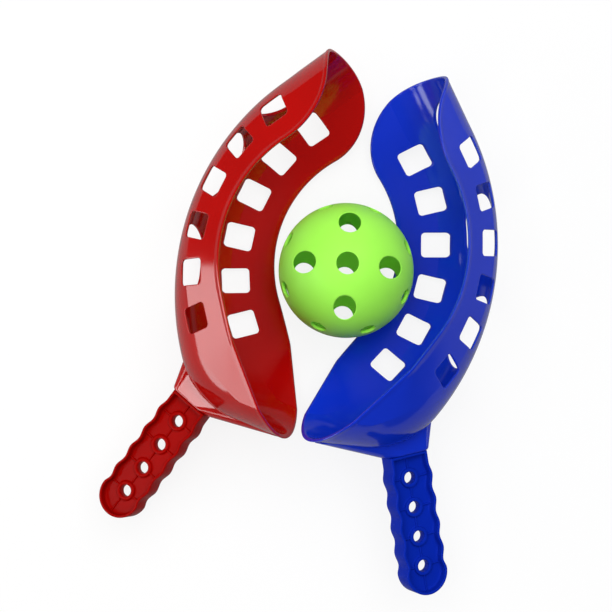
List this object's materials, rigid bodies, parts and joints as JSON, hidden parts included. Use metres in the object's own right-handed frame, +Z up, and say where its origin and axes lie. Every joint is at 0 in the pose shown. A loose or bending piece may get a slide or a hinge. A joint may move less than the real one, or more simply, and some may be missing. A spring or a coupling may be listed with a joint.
{
  "type": "scoop toss set",
  "caption": "Curved perforated hand scoops with waved grip handles and a hollow perforated ball, for throwing and catching, laid out as a set.",
  "frame": {"origin": "centre of the set's box, on the table that it lies on", "axes": "+Z up from the table, +Y from the handles towards the scoop tips, +X from the red scoop towards the blue scoop"},
  "size_m": [0.2668, 0.3605, 0.1164],
  "materials": {
    "red_plastic": "glossy moulded polypropylene",
    "blue_plastic": "glossy moulded polypropylene",
    "lime_plastic": "semi-matte moulded polyethylene"
  },
  "bodies": {
    "red_scoop": {"red_basket": "red_plastic", "red_handle": "red_plastic"},
    "blue_scoop": {"blue_basket": "blue_plastic", "blue_handle": "blue_plastic"},
    "ball": {"ball_upper_half": "lime_plastic", "ball_lower_half": "lime_plastic"}
  },
  "joints": [
    {"name": "ball_lift", "type": "slide", "parent": "red_scoop", "child": "ball", "axis": [0, 0, 1], "range_m": [0, 0.25]},
    {"name": "blue_scoop_away", "type": "slide", "parent": "red_scoop", "child": "blue_scoop", "axis": [1, 0, 0], "range_m": [0, 0.3]}
  ]
}
